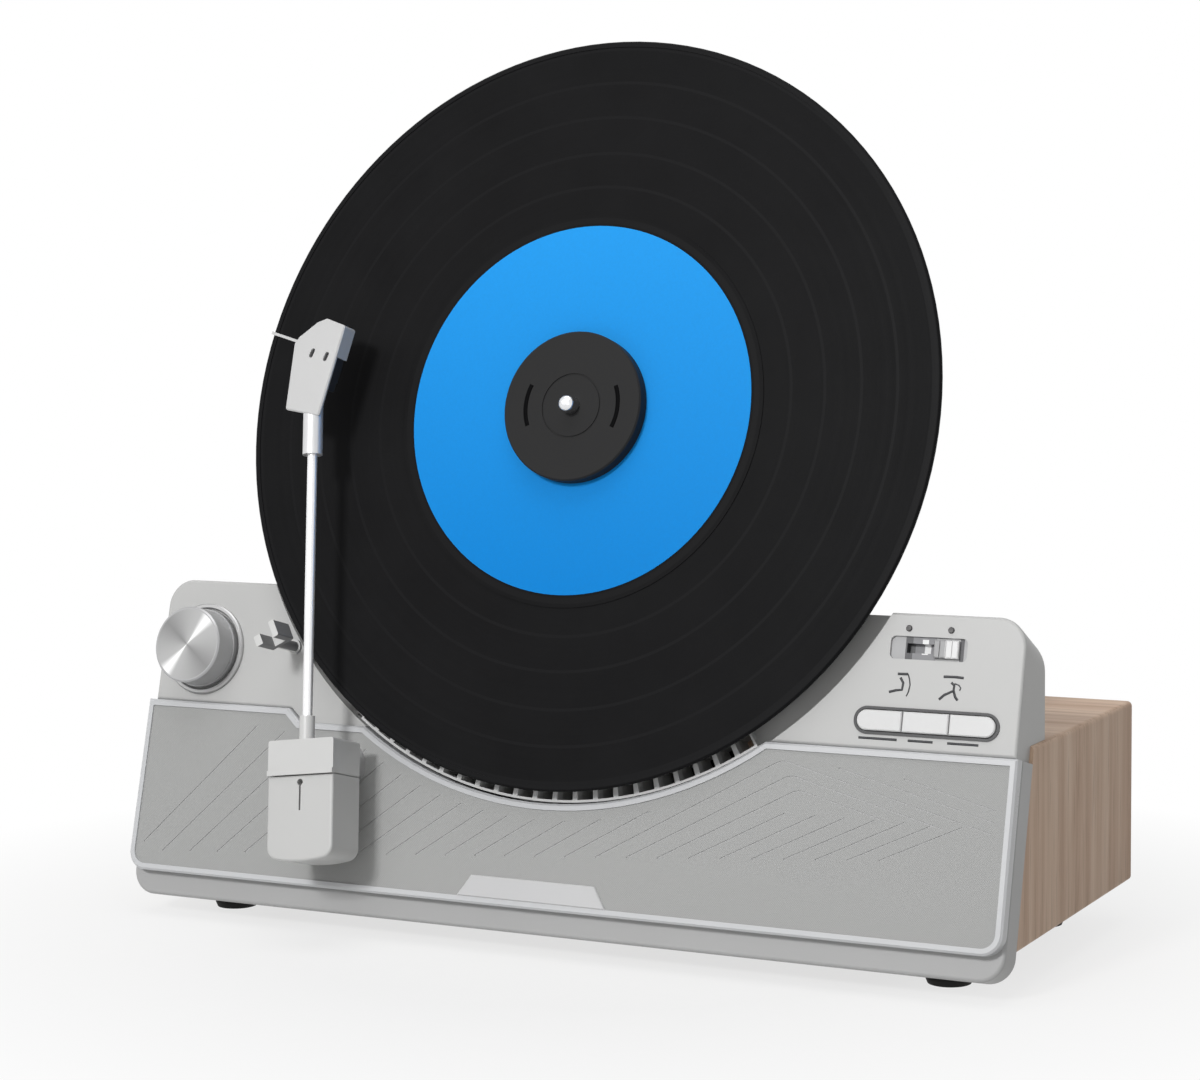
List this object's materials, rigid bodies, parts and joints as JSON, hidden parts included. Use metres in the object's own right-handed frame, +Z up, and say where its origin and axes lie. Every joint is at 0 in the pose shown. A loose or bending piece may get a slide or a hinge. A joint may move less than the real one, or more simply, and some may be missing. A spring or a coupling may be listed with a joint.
{
  "type": "vertical record player",
  "caption": "Vertical record player: a record stands on edge before a leaning speaker front on a wooden case, with an upright tonearm, a volume knob, push buttons and an input slider.",
  "frame": {"origin": "middle of the outer box in plan, on the surface that the feet stand on", "axes": "+X to the listener's right, -Y to the front, +Z up; the front and the record lean back 15 degrees"},
  "size_m": [0.381, 0.1944, 0.3559],
  "materials": {
    "case_wood": "oiled grain",
    "inner_wood": "plain",
    "panel_board": "matt",
    "front_plastic": "fine matt",
    "grille_plastic": "matt with fine grooves",
    "badge_plastic": "satin",
    "tower_plastic": "fine matt",
    "screw_steel": "zinc",
    "bearing_bronze": "sintered",
    "spindle_steel": "polished",
    "platter_metal": "cast and turned",
    "mat_rubber": "matt",
    "record_vinyl": "pressed grooves",
    "label_paper": "paper",
    "puck_plastic": "satin",
    "motor_steel": "drawn can",
    "pulley_brass": "turned",
    "belt_rubber": "matt",
    "knob_aluminium": "spun face",
    "trim_aluminium": "satin",
    "button_plastic": "satin",
    "bezel_plastic": "matt",
    "circuit_board": "lacquered",
    "switch_plastic": "satin",
    "slider_dark": "matt",
    "slider_white": "satin",
    "lamp_lens": "clear lens",
    "arm_white": "satin paint",
    "arm_silver": "satin",
    "weight_grey": "satin",
    "cartridge_plastic": "satin",
    "stylus_plastic": "clear",
    "speaker_steel": "pressed",
    "cone_paper": "paper",
    "socket_metal": "plated",
    "socket_plastic": "matt",
    "foot_rubber": "matt"
  },
  "bodies": {
    "player": {"cabinet_top": "case_wood", "cabinet_base": "case_wood", "cabinet_side_left": "case_wood", "cabinet_side_right": "case_wood", "corner_blocks": "inner_wood", "rear_panel": "panel_board", "panel_screws": "screw_steel", "front_fascia": "front_plastic", "control_housing": "front_plastic", "scoop_ladder": "grille_plastic", "grille_frame": "front_plastic", "grille_mesh": "grille_plastic", "badge_plate": "badge_plastic", "tower_shell": "tower_plastic", "tower_cover": "tower_plastic", "tower_screws": "screw_steel", "bearing_bush": "bearing_bronze", "motor": "motor_steel", "drive_belt": "belt_rubber", "knob_trim": "trim_aluminium", "volume_pot": "motor_steel", "button_bezel": "bezel_plastic", "button_board": "circuit_board", "button_switches": "switch_plastic", "board_screws": "screw_steel", "slider_body": "slider_dark", "lamps": "lamp_lens", "arm_turret": "arm_silver", "turret_nut": "screw_steel", "pivot_screw": "screw_steel", "arm_rest": "arm_white", "speaker_frames": "speaker_steel", "speaker_cones": "cone_paper", "main_board": "circuit_board", "phono_sockets": "socket_metal", "mini_socket": "socket_plastic", "power_socket": "socket_plastic", "feet": "foot_rubber"},
    "turntable": {"spindle": "spindle_steel", "platter": "platter_metal", "platter_mat": "mat_rubber", "record": "record_vinyl", "record_label": "label_paper"},
    "puck": {"clamp_puck": "puck_plastic"},
    "pulley": {"motor_pulley": "pulley_brass"},
    "swing": {"arm_yoke": "arm_white", "lift_axle": "motor_steel"},
    "tonearm": {"arm_block": "arm_white", "arm_tube": "arm_silver", "arm_neck": "arm_white", "headshell": "arm_white", "cartridge": "cartridge_plastic", "stylus": "stylus_plastic"},
    "weight": {"counterweight": "weight_grey"},
    "volume": {"volume_knob": "knob_aluminium", "pot_shaft": "motor_steel"},
    "selector": {"slider_knob": "slider_white"},
    "left_button": {"button_left": "button_plastic"},
    "middle_button": {"button_middle": "button_plastic"},
    "right_button": {"button_right": "button_plastic"}
  },
  "joints": [
    {"name": "platter_spin", "type": "hinge", "parent": "player", "child": "turntable", "pos_m": [0, -0.01259, 0.20759], "axis": [0, -0.9659, 0.2588], "continuous": true},
    {"name": "clamp_pull", "type": "slide", "parent": "turntable", "child": "puck", "axis": [0, -0.9659, 0.2588], "range_m": [0, 0.025]},
    {"name": "motor_spin", "type": "hinge", "parent": "player", "child": "pulley", "pos_m": [0, -0.02449, 0.16316], "axis": [0, -0.9659, 0.2588], "continuous": true},
    {"name": "arm_swing", "type": "hinge", "parent": "player", "child": "swing", "pos_m": [-0.0915, -0.06241, 0.06917], "axis": [0, -0.9659, 0.2588], "range_deg": [-12, 23]},
    {"name": "arm_lift", "type": "hinge", "parent": "swing", "child": "tonearm", "pos_m": [-0.0915, -0.07419, 0.07233], "axis": [0.9925, 0.0315, 0.1177], "range_deg": [-2, 10]},
    {"name": "weight_slide", "type": "slide", "parent": "tonearm", "child": "weight", "axis": [0.1219, -0.2569, -0.9587], "range_m": [0, 0.004]},
    {"name": "volume_turn", "type": "hinge", "parent": "player", "child": "volume", "pos_m": [-0.1673, -0.03914, 0.10849], "axis": [0, -0.9659, 0.2588], "range_deg": [-150, 150]},
    {"name": "slider_select", "type": "slide", "parent": "player", "child": "selector", "axis": [1, 0, 0], "range_m": [-0.014, 0]},
    {"name": "left_push", "type": "slide", "parent": "player", "child": "left_button", "axis": [0, 0.9659, -0.2588], "range_m": [0, 0.0012], "stiffness_N_per_m": 900, "springref_m": -0.0004},
    {"name": "middle_push", "type": "slide", "parent": "player", "child": "middle_button", "axis": [0, 0.9659, -0.2588], "range_m": [0, 0.0012], "stiffness_N_per_m": 900, "springref_m": -0.0004},
    {"name": "right_push", "type": "slide", "parent": "player", "child": "right_button", "axis": [0, 0.9659, -0.2588], "range_m": [0, 0.0012], "stiffness_N_per_m": 900, "springref_m": -0.0004}
  ],
  "couplings": [
    {"joint": "motor_spin", "follows": "platter_spin", "ratio": 7.5833}
  ]
}
